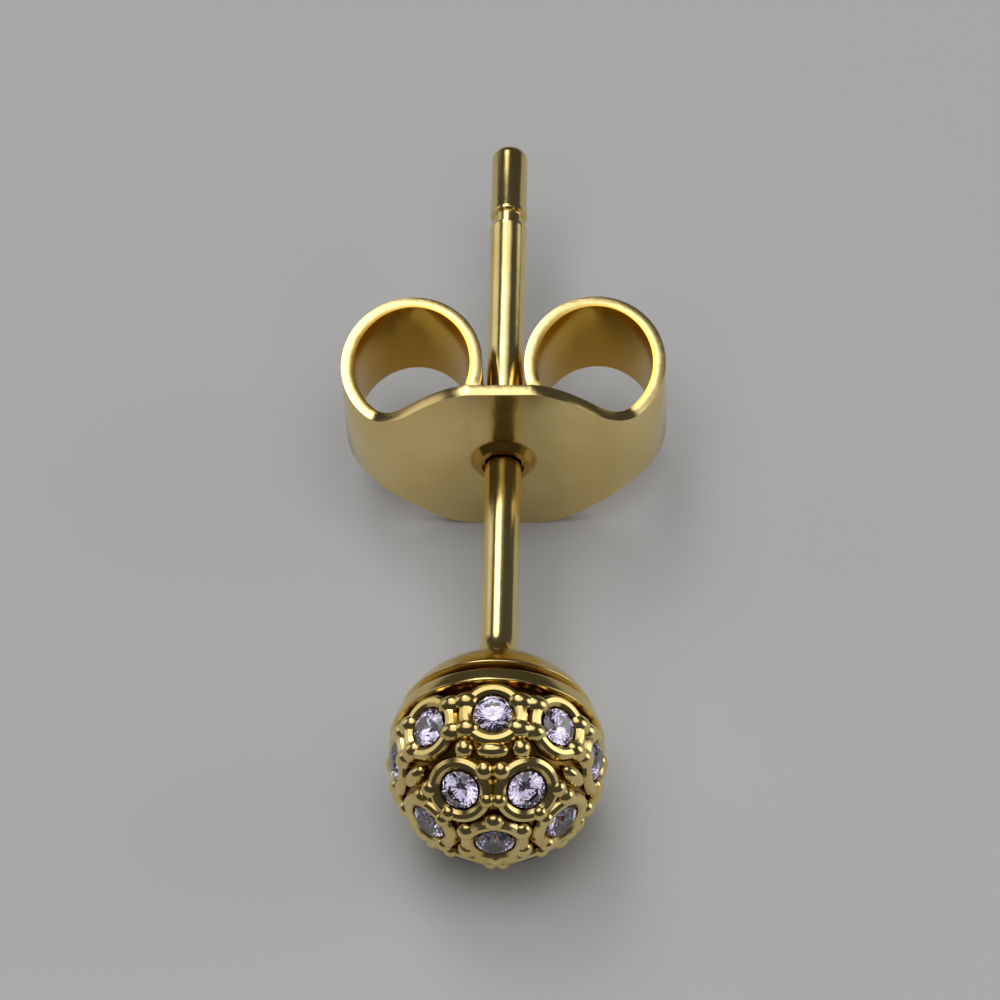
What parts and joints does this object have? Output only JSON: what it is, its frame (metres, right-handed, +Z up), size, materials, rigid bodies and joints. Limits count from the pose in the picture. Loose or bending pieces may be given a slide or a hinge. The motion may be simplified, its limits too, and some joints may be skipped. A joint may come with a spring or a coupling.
{
  "type": "ball stud earring",
  "caption": "Pave ball stud earring for a pierced ear: a ball set with small clear stones on a straight notched post, with a looped butterfly back that slides on and grips the post.",
  "frame": {"origin": "on the surface that the earring rests on, under the middle of its length", "axes": "+Z up; +Y from the ball along the post to its tip, in plan; +X across the butterfly back"},
  "size_m": [0.0062, 0.0164, 0.004],
  "materials": {
    "gold_ball_and_post": "gold plated and polished",
    "gold_back": "gold plated, satin faces and polished edges",
    "clear_stones": "round brilliant cut cubic zirconia"
  },
  "bodies": {
    "stud": {"ball_and_post": "gold_ball_and_post"},
    "back": {"butterfly_back": "gold_back"}
  },
  "joints": [
    {"name": "back_slide", "type": "slide", "parent": "stud", "child": "back", "axis": [0, 1, 0], "range_m": [-0.0041, 0.0081]}
  ]
}
